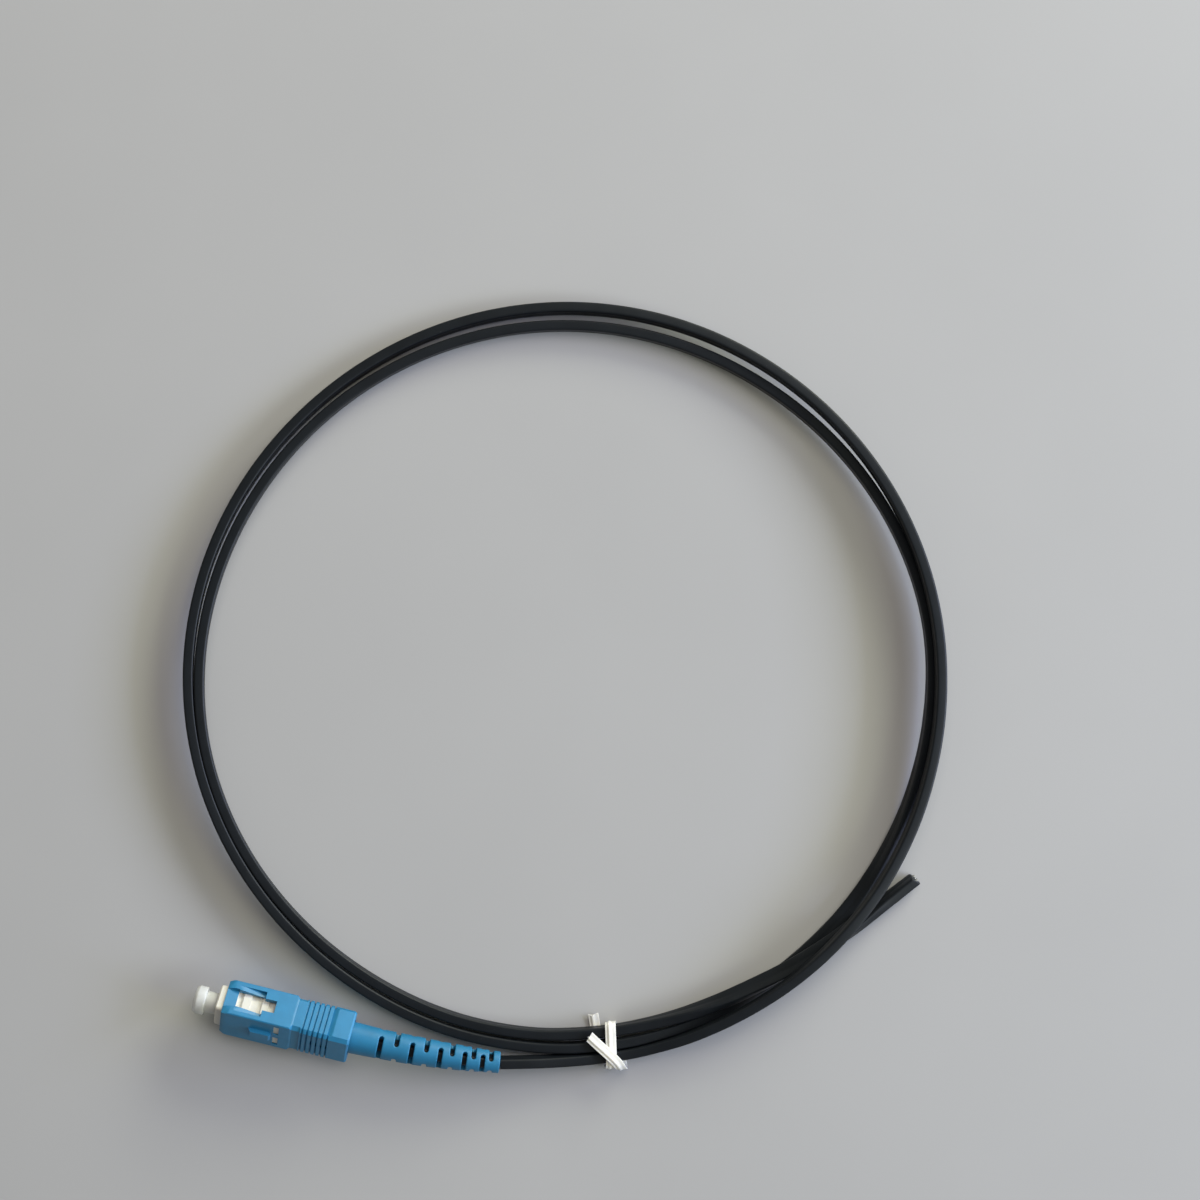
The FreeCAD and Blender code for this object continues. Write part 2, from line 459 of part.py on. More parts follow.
# the loop: one closed solid of its outer shape
outer_pts, inner_pts = [], []
half = CABLE_W / 2.0
seq_out = [(d + (360 if d < 284 else 0), r) for d, r in TURN_OUT[:-1]]
for d, r in seq_out:
    if d >= 304 or d == 284:
        outer_pts.append((d, r + half))
outer = sorted([(d, r) for d, r in outer_pts if d > JOIN_AT + 1])
outer = [(JOIN_AT, 72.78 + half)] + outer + [(JOIN_AT + 350.0, 70.65 + half), (JOIN_AT + 360.0, 70.45 + half)]
inner = [(JOIN_AT, 67.97 - half)] + [(d if d > JOIN_AT else d + 360, r - half) for d, r in TURN_IN[1:]]
inner = sorted(inner) + [(JOIN_AT + 360.0, 67.97 - half)]
inner = [(d, r) for d, r in inner]


def curve(points, z):
    c = Part.BSplineCurve()
    c.interpolate([polar(d, r, z) for d, r in points])
    return c.toShape()


oe, ie = curve(outer, 0.0), curve(inner, 0.0)
step = Part.LineSegment(polar(*outer[-1]), polar(*outer[0])).toShape()
ow = Part.Wire([oe, step])
iw = Part.Wire([ie])
ring_face = Part.Face([ow, iw]) if iw.isClosed() else None
disc_o = Part.Face(ow).extrude(V(0, 0, COIL_H))
disc_i = Part.Face(iw).extrude(V(0, 0, COIL_H))
coil = disc_o.cut(disc_i)

a0, a1, top = HUMP
mid = (a0 + a1) / 2.0
half_a = (a1 - a0) / 2.0
R_IN, R_OUT = 68.6, 73.85
n_seg = 10
arc_o = [polar(a0 + (a1 - a0) * k / n_seg, R_OUT, COIL_H - 0.5) for k in range(n_seg + 1)]
arc_i = [polar(a1 - (a1 - a0) * k / n_seg, R_IN, COIL_H - 0.5) for k in range(n_seg + 1)]
w_o = Part.Arc(arc_o[0], arc_o[n_seg // 2], arc_o[-1]).toShape()
w_i = Part.Arc(arc_i[0], arc_i[n_seg // 2], arc_i[-1]).toShape()
hump = Part.Face(Part.Wire([w_o, Part.LineSegment(arc_o[-1], arc_i[0]).toShape(), w_i,
                            Part.LineSegment(arc_i[-1], arc_o[0]).toShape()])).extrude(V(0, 0, 5))
radial = polar(mid, 1.0) - polar(mid, 0.0)
along = V(-radial.y, radial.x, 0)
base = polar(mid, 60.0)
chord = R_OUT * math.sin(math.radians(half_a))
roof_pts = [(-chord, COIL_H - 0.5), (-chord, COIL_H - 0.05), (-6.0, top), (6.0, top), (chord, COIL_H - 0.05), (chord, COIL_H - 0.5)]
roof = Part.Face(Part.makePolygon([base + along * a + V(0, 0, z) for a, z in roof_pts + [roof_pts[0]]])).extrude(radial * 20)
coil = coil.fuse(hump.common(roof))

# groove under the loop for the tie
tie_r = polar(TIE_AT, 1.0) - polar(TIE_AT, 0.0)
tie_t = V(-tie_r.y, tie_r.x, 0)


def tie_prism(points, width):
    pts = [V(COIL_C[0], COIL_C[1], 0) + tie_r * r + V(0, 0, z) for r, z in points]
    f = Part.Face(Part.makePolygon(pts + [pts[0]])).extrude(tie_t * width)
    f.translate(tie_t * (-width / 2.0))
    return f


coil = coil.cut(tie_prism([(60, -1), (80, -1), (80, TIE_Z0), (60, TIE_Z0)], TIE_W + 0.3))
coil = coil.cut(lead_tube)
coil = coil.removeSplitter()
tail_tube = tail_tube.cut(coil)
tail_tube = max(tail_tube.Solids, key=lambda s: s.CenterOfMass.x)
out(coil, "cable_coil")

# bare cut end: the two rods and the coated fibre show in the jacket's end face
tp, tq = V(*TAIL[-2]), V(*TAIL[-1])
td = tq - tp
td.normalize()
ends = []
for off, d, stick in ((ROD_OFFSET, ROD_D, 0.25), (-ROD_OFFSET, ROD_D, 0.45)):
    ends.append(Part.makeCylinder(d / 2.0, 4.0 + stick, tq - td * 4.0 + V(0, 0, off), td))
fib = Part.makeCylinder(COATING_D / 2.0, 4.6, tq - td * 4.0, td)
for e in ends + [fib]:
    tail_tube = tail_tube.cut(e)
out(tail_tube, "cable_tail")
out(Part.makeCompound(ends), "tail_rods")
out(fib, "tail_fibre")
lead_cut = lead_tube.cut(boot)
out(lead_tube, "cable_lead")

# ---------------------------------------------------------------- tie
t = TIE_T
loop = tie_prism([(TIE_R0 - t, TIE_Z0 - t), (TIE_R1 + t, TIE_Z0 - t), (TIE_R1 + t, TIE_Z1 + t), (TIE_R0 - t, TIE_Z1 + t)], TIE_W)
loop = loop.cut(tie_prism([(TIE_R0, TIE_Z0), (TIE_R1, TIE_Z0), (TIE_R1, TIE_Z1), (TIE_R0, TIE_Z1)], TIE_W + 1))
free = tie_prism([(TIE_R0 - t + 0.02, 0.60), (TIE_R0 - t + 0.02, 0.95), (TIE_R0 - 3.3, 2.15), (TIE_R0 - 3.3, 1.85)], TIE_W)
loop = loop.fuse(free)
k = TIE_RIB_T
rib = tie_prism([(TIE_R0 - k, TIE_Z0 - k), (TIE_R1 + k, TIE_Z0 - k), (TIE_R1 + k, TIE_Z1 + k), (TIE_R0 - k, TIE_Z1 + k)], TIE_RIB_W)
rib = rib.cut(tie_prism([(TIE_R0, TIE_Z0), (TIE_R1, TIE_Z0), (TIE_R1, TIE_Z1), (TIE_R0, TIE_Z1)], TIE_RIB_W + 1))
strip = loop.fuse(rib)
g0, g1 = 0.07, 0.07 + TIE_WIRE
wire = tie_prism([(TIE_R0 - g1, TIE_Z0 - g1), (TIE_R1 + g1, TIE_Z0 - g1), (TIE_R1 + g1, TIE_Z1 + g1), (TIE_R0 - g1, TIE_Z1 + g1)], TIE_WIRE)
wire = wire.cut(tie_prism([(TIE_R0 - g0, TIE_Z0 - g0), (TIE_R1 + g0, TIE_Z0 - g0), (TIE_R1 + g0, TIE_Z1 + g0), (TIE_R0 - g0, TIE_Z1 + g0)], TIE_WIRE + 1))
strip = strip.cut(wire).removeSplitter()
out(strip, "tie_strip")
out(wire, "tie_wire")

# ---------------------------------------------------------------- overall box of the connector
bb = None
for name, s in made:
    if name in ("cable_coil", "cable_lead", "cable_tail", "tail_rods", "tail_fibre", "tie_strip", "tie_wire"):
        continue
    if bb is None:
        bb = FreeCAD.BoundBox(s.BoundBox)
    else:
        bb.add(s.BoundBox)
print("connector box", bb)
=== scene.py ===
import math
import random

import bmesh
import bpy
import numpy as np
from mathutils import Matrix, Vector


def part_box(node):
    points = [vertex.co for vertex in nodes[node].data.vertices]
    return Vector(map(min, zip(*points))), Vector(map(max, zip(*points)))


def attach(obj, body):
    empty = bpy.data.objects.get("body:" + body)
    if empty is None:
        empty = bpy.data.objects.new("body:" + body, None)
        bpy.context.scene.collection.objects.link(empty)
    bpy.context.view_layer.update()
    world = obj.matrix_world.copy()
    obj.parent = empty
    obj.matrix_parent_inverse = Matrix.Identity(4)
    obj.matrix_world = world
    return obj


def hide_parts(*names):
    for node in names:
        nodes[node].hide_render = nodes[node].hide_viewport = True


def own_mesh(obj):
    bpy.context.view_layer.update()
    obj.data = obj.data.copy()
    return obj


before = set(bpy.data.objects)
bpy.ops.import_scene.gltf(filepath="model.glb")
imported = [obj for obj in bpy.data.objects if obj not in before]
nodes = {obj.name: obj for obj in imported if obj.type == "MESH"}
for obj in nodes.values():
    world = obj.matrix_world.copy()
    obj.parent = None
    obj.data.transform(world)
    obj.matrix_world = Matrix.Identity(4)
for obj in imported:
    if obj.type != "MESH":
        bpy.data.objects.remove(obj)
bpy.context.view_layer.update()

MM = 0.001
scene = bpy.context.scene


def link(obj):
    scene.collection.objects.link(obj)
    return obj


# ------------------------------------------------------------------ camera
TURN = math.radians(14.0)
cam_data = bpy.data.cameras.new("camera")
cam_data.sensor_width = 36.0
cam_data.lens = 92.7
cam_data.clip_start = 0.01
cam_data.clip_end = 20.0
camera = link(bpy.data.objects.new("camera", cam_data))
camera.location = (0.02695, 0.09318, 0.600)
camera.rotation_euler = (0.0, 0.0, TURN)
scene.camera = camera

# ------------------------------------------------------------------ the cable's line
# Route in mm: boot exit, lead, the two turns, the tail under the outer turn, the cut end.
ROUTE = [
    (29.81, 2.05, 4.49), (34.76, 3.28, 4.04), (40.12, 4.70, 3.10), (45.50, 6.33, 2.45),
    (50.78, 8.30, 2.15), (55.86, 10.50, 2.25), (65.20, 15.98, 3.79), (74.78, 24.16, 5.22),
    (83.00, 33.66, 6.06), (89.41, 44.45, 6.41), (94.11, 56.11, 5.74), (96.78, 70.97, 5.91),
    (95.98, 88.58, 6.27), (90.57, 106.72, 6.37), (80.50, 122.82, 5.76), (66.51, 135.70, 4.78),
    (49.65, 144.54, 3.66), (31.08, 148.80, 2.65), (12.01, 148.06, 1.98), (-6.23, 142.36, 1.64),
    (-22.36, 132.10, 1.68), (-35.29, 118.03, 2.10), (-44.34, 101.14, 2.83), (-48.76, 82.44, 3.50),
    (-47.98, 63.19, 3.99), (-41.91, 44.94, 4.15), (-31.13, 29.16, 3.92), (-16.68, 16.91, 3.27),
    (0.22, 8.73, 2.60), (18.49, 4.86, 2.20), (37.04, 6.05, 2.07), (51.16, 10.55, 2.07),
    (61.99, 16.36, 1.91), (71.57, 23.97, 1.73), (79.88, 32.91, 1.07), (86.49, 43.16, 1.07),
    (91.56, 54.29, 1.56), (94.73, 68.65, 2.37), (94.78, 85.86, 3.17), (90.39, 103.89, 3.09),
    (80.51, 119.61, 3.07), (66.92, 132.03, 2.75), (50.79, 140.55, 2.28), (33.19, 145.06, 1.78),
    (15.01, 145.05, 1.60), (-2.60, 140.36, 1.59), (-18.46, 131.27, 1.80), (-31.53, 118.39, 2.29),
    (-40.87, 102.51, 2.95), (-45.94, 84.68, 3.58), (-46.15, 66.05, 4.02), (-41.20, 48.03, 4.11),
    (-31.21, 32.32, 3.78), (-17.47, 20.04, 3.18), (-1.25, 11.77, 2.54), (16.31, 7.59, 2.25),
    (33.06, 7.96, 2.09), (46.84, 11.73, 2.03), (57.61, 16.66, 2.41), (66.67, 22.31, 3.42),
    (74.17, 28.25, 3.60), (80.57, 33.91, 3.30), (85.32, 38.87, 3.28), (88.71, 42.69, 3.30),
    (92.04, 46.73, 2.40), (95.42, 50.76, 1.62), (99.12, 55.48, 1.57),
]
CENTRE = np.array([24.71, 76.01]) * MM          # middle of the loop

# How far the flat cable leans outward, in degrees, against the direction from the loop's middle,
# counted on through both turns.
LEAN = [
    (250, 12), (274, 12), (299, 5), (304, 5), (309, 5), (314, 6), (319, 8), (324, 9), (329, 10),
    (334, 10), (339, 10), (344, 9), (354, 8), (364, 8), (374, 7), (384, 6), (404, 8), (424, 10),
    (444, 12), (464, 12), (484, 11), (504, 8), (524, 3), (544, -2), (564, -5), (584, -4), (604, 1),
    (624, 5), (644, 6), (652, 6), (659, 6), (664, 7), (669, 14), (674, 40), (679, 76), (684, 86),
    (689, 87), (694, 80), (699, 64), (704, 42), (714, 18), (724, 10), (734, 6), (744, 5), (764, 5),
    (784, 5), (804, 5), (824, 5), (844, 4), (864, 3), (884, 0), (904, -3), (924, -5), (944, -4),
    (964, 0), (984, 5), (1004, 6), (1014, 8), (1019, 13), (1024, 25), (1029, 42), (1034, 60), (1039, 76),
    (1044.4, 86), (1049.5, 84), (1052, 74), (1054.5, 54), (1059.5, 27), (1063, 21), (1065.2, 20), (1100, 20),
]


def nurbs_line(points, resolution):
    """Points along the NURBS spline that has these control points (metres)."""
    data = bpy.data.curves.new("line", "CURVE")
    data.dimensions = "3D"
    data.resolution_u = resolution
    spline = data.splines.new("NURBS")
    spline.points.add(len(points) - 1)
    for p, c in zip(spline.points, points):
        p.co = (c[0], c[1], c[2], 1.0)
    spline.order_u = 3
    spline.use_endpoint_u = True
    obj = link(bpy.data.objects.new("line", data))
    bpy.context.view_layer.update()
    mesh = bpy.data.meshes.new_from_object(obj)
    found = np.array([v.co for v in mesh.vertices], float)
    bpy.data.objects.remove(obj)
    bpy.data.curves.remove(data)
    bpy.data.meshes.remove(mesh)
    return found


def tangents(line):
    t = np.gradient(line, axis=0)
    return t / np.linalg.norm(t, axis=1)[:, None]


def smooth_shade(mesh, sharp_over=35.0):
    mesh.polygons.foreach_set("use_smooth", [True] * len(mesh.polygons))
    bm = bmesh.new()
    bm.from_mesh(mesh)
    for e in bm.edges:
        if len(e.link_faces) == 2:
            e.smooth = e.calc_face_angle(0.0) < math.radians(sharp_over)
    bm.to_mesh(mesh)
    bm.free()
    mesh.update()


def mesh_object(name, verts, faces, sharp_over=35.0):
    mesh = bpy.data.meshes.new(name)
    mesh.from_pydata([tuple(v) for v in verts], [], faces)
    bm = bmesh.new()
    bm.from_mesh(mesh)
    bmesh.ops.recalc_face_normals(bm, faces=bm.faces)
    bm.to_mesh(mesh)
    bm.free()
    smooth_shade(mesh, sharp_over)
    return link(bpy.data.objects.new(name, mesh))


def tube(name, rings, caps=(None, None), sharp_over=35.0):
    """A closed skin over rings of points. caps gives extra inner rings for the start and the end."""
    verts, faces = [], []
    n = len(rings[0])
    for ring in rings:
        verts.extend(ring)
    for k in range(len(rings) - 1):
        a, b = k * n, (k + 1) * n
        for i in range(n):
            j = (i + 1) % n
            faces.append((a + i, a + j, b + j, b + i))
    for which, first in ((0, 0), (1, (len(rings) - 1) * n)):
        base = first
        for ring in (caps[which] or []):
            start = len(verts)
            verts.extend(ring)
            for i in range(n):
                j = (i + 1) % n
                f = (base + i, base + j, start + j, start + i)
                faces.append(f if which else f[::-1])
            base = start
        middle = np.mean([verts[base + i] for i in range(n)], axis=0)
        verts.append(middle)
        m = len(verts) - 1
        for i in range(n):
            f = (base + i, base + (i + 1) % n, m)
            faces.append(f if which else f[::-1])
    return mesh_object(name, verts, faces, sharp_over)


line = nurbs_line([tuple(c * MM for c in p) for p in ROUTE], 18)
t_line = tangents(line)
steps = np.linalg.norm(np.diff(line, axis=0), axis=1)
along = np.concatenate([[0.0], np.cumsum(steps)])
CABLE_LENGTH = float(along[-1])

direction = np.degrees(np.unwrap(np.arctan2(line[:, 1] - CENTRE[1], line[:, 0] - CENTRE[0]))) 
direction = direction - direction[0] + (math.degrees(math.atan2(line[0, 1] - CENTRE[1], line[0, 0] - CENTRE[0])) % 360)
lean = np.interp(direction, [a for a, b in LEAN], [b for a, b in LEAN])
# a soft cable never lies perfectly even
lean = lean + 1.1 * np.sin(along / 0.041 + 0.7) + 0.7 * np.sin(along / 0.0173 + 2.1)
lean[:40] = np.interp(np.arange(40), [0, 39], [12.0, lean[39]])

out_dir = np.cross(t_line, np.array([0.0, 0.0, 1.0]))
out_dir /= np.linalg.norm(out_dir, axis=1)[:, None]
up_dir = np.cross(out_dir, t_line)
ca, sa = np.cos(np.radians(lean))[:, None], np.sin(np.radians(lean))[:, None]
wide_dir = out_dir * ca - up_dir * sa       # across the narrow way, 2 mm
tall_dir = up_dir * ca + out_dir * sa       # across the wide way, 3 mm


def jacket_section():
    """Outline of the flat jacket in mm: 2 x 3, rounded, with the tear notch in each wide side."""
    a, b, r = 1.0, 1.5, 0.42
    pts = []
    for cx, cy, start in ((a - r, b - r, 0), (-a + r, b - r, 90), (-a + r, -b + r, 180), (a - r, -b + r, 270)):
        if start == 180:
            pts += [(-a, 0.62), (-a + 0.005, 0.44), (-a + 0.03, 0.22), (-a + 0.065, 0.0), (-a + 0.03, -0.22), (-a + 0.005, -0.44), (-a, -0.62)]
        if start == 90:
            pts += [(0.0, b)]
        if start == 270:
            pts += [(0.0, -b)]
        for k in range(7):
            ang = math.radians(start + 15 * k)
            pts.append((cx + r * math.cos(ang), cy + r * math.sin(ang)))
    pts += [(a, -0.62), (a - 0.005, -0.44), (a - 0.03, -0.22), (a - 0.065, 0.0), (a - 0.03, 0.22), (a - 0.005, 0.44), (a, 0.62)]
    return pts


SECTION = jacket_section()


def ring_at(i, scale=1.0, push=None, grow=0.0):
    ring = []
    for k, (u, v) in enumerate(SECTION):
        p = line[i] + wide_dir[i] * (u * scale * MM) + tall_dir[i] * (v * scale * MM)
        if push is not None:
            p = p + t_line[i] * (push[k] * MM)
        ring.append(p)
    return ring


rng = random.Random(7)
rings = []
for i in range(len(line) - 1):
    rings.append(ring_at(i))
last = len(line) - 1
# the cut: slightly slanted, squeezed by the cutter, ragged at the rim
jag = [-0.07 * v + 0.34 * u + rng.uniform(-0.08, 0.08) for u, v in SECTION]
rings.append(ring_at(last, 0.985, jag))
inner = []
for s, d in ((0.90, 0.10), (0.72, 0.12), (0.45, 0.16), (0.2, 0.18)):
    inner.append(ring_at(last, s, [-0.07 * v * s + 0.34 * u * s + d + rng.uniform(-0.05, 0.05) for u, v in SECTION]))
cable = tube("drop_cable", rings, (None, inner), 30.0)


def rod(name, offset, radius, start_back, stick_out, seed):
    """A round rod inside the jacket that shows at the cut."""
    r2 = random.Random(seed)
    first = int(np.searchsorted(along, along[-1] - start_back * MM))
    rr = []
    for i in range(first, len(line)):
        rr.append([line[i] + tall_dir[i] * (offset * MM) + wide_dir[i] * (radius * math.cos(a) * MM) + tall_dir[i] * (radius * math.sin(a) * MM)
                   for a in [2 * math.pi * k / 20 for k in range(20)]])
    tip = []
    for k in range(20):
        a = 2 * math.pi * k / 20
        tip.append(line[last] + t_line[last] * ((stick_out + 0.05 * math.cos(a + seed) + r2.uniform(-0.02, 0.02)) * MM)
                   + tall_dir[last] * (offset * MM) + wide_dir[last] * (radius * math.cos(a) * MM) + tall_dir[last] * (radius * math.sin(a) * MM))
    rr.append(tip)
    end = [[line[last] + t_line[last] * ((stick_out + 0.03) * MM) + tall_dir[last] * (offset * MM)
            + wide_dir[last] * (radius * f * math.cos(2 * math.pi * k / 20) * MM) + tall_dir[last] * (radius * f * math.sin(2 * math.pi * k / 20) * MM)
            for k in range(20)] for f in (0.86, 0.5)]
    return tube(name, rr, (None, end), 40.0)


rod_low = rod("tail_rod_low", -0.95, 0.25, 6.0, 0.46, 3)
rod_high = rod("tail_rod_high", 0.95, 0.25, 6.0, 0.30, 5)
fibre_end = rod("tail_fibre_end", 0.0, 0.125, 5.0, 0.36, 9)

# torn shreds of jacket and filler round the cut
shred_v, shred_f = [], []
for k in range(9):
    a = rng.uniform(0, 2 * math.pi)
    base = line[last] + wide_dir[last] * (0.75 * math.cos(a) * MM) + tall_dir[last] * (1.2 * math.sin(a) * MM) - t_line[last] * (0.12 * MM)
    tip = base + t_line[last] * (rng.uniform(0.25, 0.6) * MM) + wide_dir[last] * (rng.uniform(-0.15, 0.15) * MM) + tall_dir[last] * (rng.uniform(-0.12, 0.2) * MM)
    w = rng.uniform(0.05, 0.10) * MM
    n0 = len(shred_v)
    for q in range(5):
        b = 2 * math.pi * q / 5
        shred_v.append(base + wide_dir[last] * (w * math.cos(b)) + tall_dir[last] * (w * math.sin(b)))
    mid = (base + tip) / 2
    for q in range(5):
        b = 2 * math.pi * q / 5
        shred_v.append(mid + wide_dir[last] * (0.8 * w * math.cos(b)) + tall_dir[last] * (0.8 * w * math.sin(b)))
    shred_v.append(tip)
    shred_f.append(tuple(n0 + q for q in range(5))[::-1])
    for q in range(5):
        r = (q + 1) % 5
        shred_f.append((n0 + q, n0 + r, n0 + 5 + r, n0 + 5 + q))
        shred_f.append((n0 + 5 + q, n0 + 5 + r, n0 + 10))
shreds = mesh_object("cut_shreds", shred_v, shred_f, 60.0)

# ------------------------------------------------------------------ the twist tie
TIE_AT = math.radians(289.3)
e_r = np.array([math.cos(TIE_AT), math.sin(TIE_AT), 0.0])
e_t = np.array([-math.sin(TIE_AT), math.cos(TIE_AT), 0.0])
centre3 = np.array([CENTRE[0], CENTRE[1], 0.0])


def tie_point(r, s, z):
    return tuple(centre3 + e_r * (r * MM) + e_t * (s * MM) + np.array([0, 0, z * MM]))


# radius from the loop's middle, distance along the cable, height, in mm
TIE_PATH = [
    (64.30, -0.95, 0.62), (65.50, -0.86, 0.34), (67.10, -0.74, 0.30), (70.00, 0.10, 0.28), (73.20, 1.00, 0.28),
    (74.60, 1.30, 0.50), (74.95, 1.42, 2.20), (74.55, 1.62, 3.95), (73.30, 1.78, 4.24), (71.00, 1.95, 4.06),
    (68.00, 2.10, 4.00), (66.75, 2.17, 3.98), (66.10, 2.20, 3.60), (65.95, 2.25, 2.20), (66.20, 2.35, 0.75), (67.00, 2.50, 0.32),
    (70.00, 3.05, 0.28), (73.60, 3.58, 0.28), (74.95, 3.72, 0.52), (75.30, 3.72, 2.30), (74.90, 3.55, 4.10),
    (73.80, 3.02, 4.72), (72.30, 1.78, 4.72), (70.60, 0.14, 4.36), (69.30, -1.06, 4.24), (68.20, -2.02, 4.28),
]


def tie_rings(line_t, section, end_cut):
    t = tangents(line_t)
    rings_t = []
    nn = len(line_t)
    for i in range(nn):
        w = e_t - t[i] * float(np.dot(e_t, t[i]))
        w /= np.linalg.norm(w)
        h = np.cross(t[i], w)
        ring = []
        for u, v in section:
            p = line_t[i] + w * (u * MM) + h * (v * MM)
            if i == 0 and end_cut:
                p = p + t[i] * (end_cut[0](u) * MM)
            if i == nn - 1 and end_cut:
                p = p + t[i] * (end_cut[1](u) * MM)
            ring.append(p)
        rings_t.append(ring)
    return rings_t


def strip_section():
    top = [(-1.02, 0.055), (-0.95, 0.085), (-0.82, 0.07), (-0.64, 0.075), (-0.56, 0.12), (-0.48, 0.20), (-0.37, 0.25), (-0.28, 0.26),
           (-0.18, 0.255), (-0.06, 0.225), (0.08, 0.16), (0.26, 0.11), (0.58, 0.085), (0.93, 0.095), (1.02, 0.055)]
    low = [(u, -v) for u, v in reversed(top)]
    return top + low


tie_line = nurbs_line([tie_point(*p) for p in TIE_PATH], 10)
tie_strip = tube("twist_tie_strip", tie_rings(tie_line, strip_section(), (lambda u: 0.55 * (1 - min(1.0, abs(u) / 0.9)), lambda u: 0.20 * u)), sharp_over=50.0)
wire_sec = [(0.18 * math.cos(2 * math.pi * k / 14), 0.18 * math.sin(2 * math.pi * k / 14)) for k in range(14)]
tt = tangents(tie_line)
wire_line = np.concatenate([[tie_line[0] + tt[0] * 0.25 * MM], tie_line[1:], [tie_line[-1] + tt[-1] * 0.22 * MM]])
wire_sec = [(u - 0.28, v) for u, v in wire_sec]
tie_wire = tube("twist_tie_wire", tie_rings(wire_line, wire_sec, None), sharp_over=50.0)


# ------------------------------------------------------------------ the ferrule's spring
spring_lo, spring_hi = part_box("spring")
SPRING_WIRE = 0.45 * MM
spring_y, spring_z = (spring_lo[1] + spring_hi[1]) / 2, (spring_lo[2] + spring_hi[2]) / 2
spring_mean = (spring_hi[1] - spring_lo[1]) / 2 - SPRING_WIRE / 2
SPRING_TURNS = 6.5
spring_from, spring_to = spring_lo[0] + SPRING_WIRE / 2, spring_hi[0] - SPRING_WIRE / 2
turned = np.linspace(0.0, SPRING_TURNS, 200)
# the end coils are wound nearly closed
spring_x = np.interp(turned, [0.0, 0.9, SPRING_TURNS - 0.9, SPRING_TURNS],
                     [spring_from, spring_from + 0.43 * MM, spring_to - 0.43 * MM, spring_to])
spring_line = np.stack([spring_x, spring_y + spring_mean * np.cos(2 * math.pi * turned),
                        spring_z + spring_mean * np.sin(2 * math.pi * turned)], axis=1)
spring_t = tangents(spring_line)
spring_rings = []
for i, turn in enumerate(turned):
    outward = np.array([0.0, math.cos(2 * math.pi * turn), math.sin(2 * math.pi * turn)])
    side = np.cross(spring_t[i], outward)
    side /= np.linalg.norm(side)
    outward = np.cross(side, spring_t[i])
    spring_rings.append([spring_line[i] + outward * (SPRING_WIRE / 2 * math.cos(2 * math.pi * k / 14))
                         + side * (SPRING_WIRE / 2 * math.sin(2 * math.pi * k / 14)) for k in range(14)])
float_spring = tube("ferrule_spring", spring_rings, sharp_over=50.0)


# ------------------------------------------------------------------ materials
def socket(node, name, value):
    if name in node.inputs:
        node.inputs[name].default_value = value


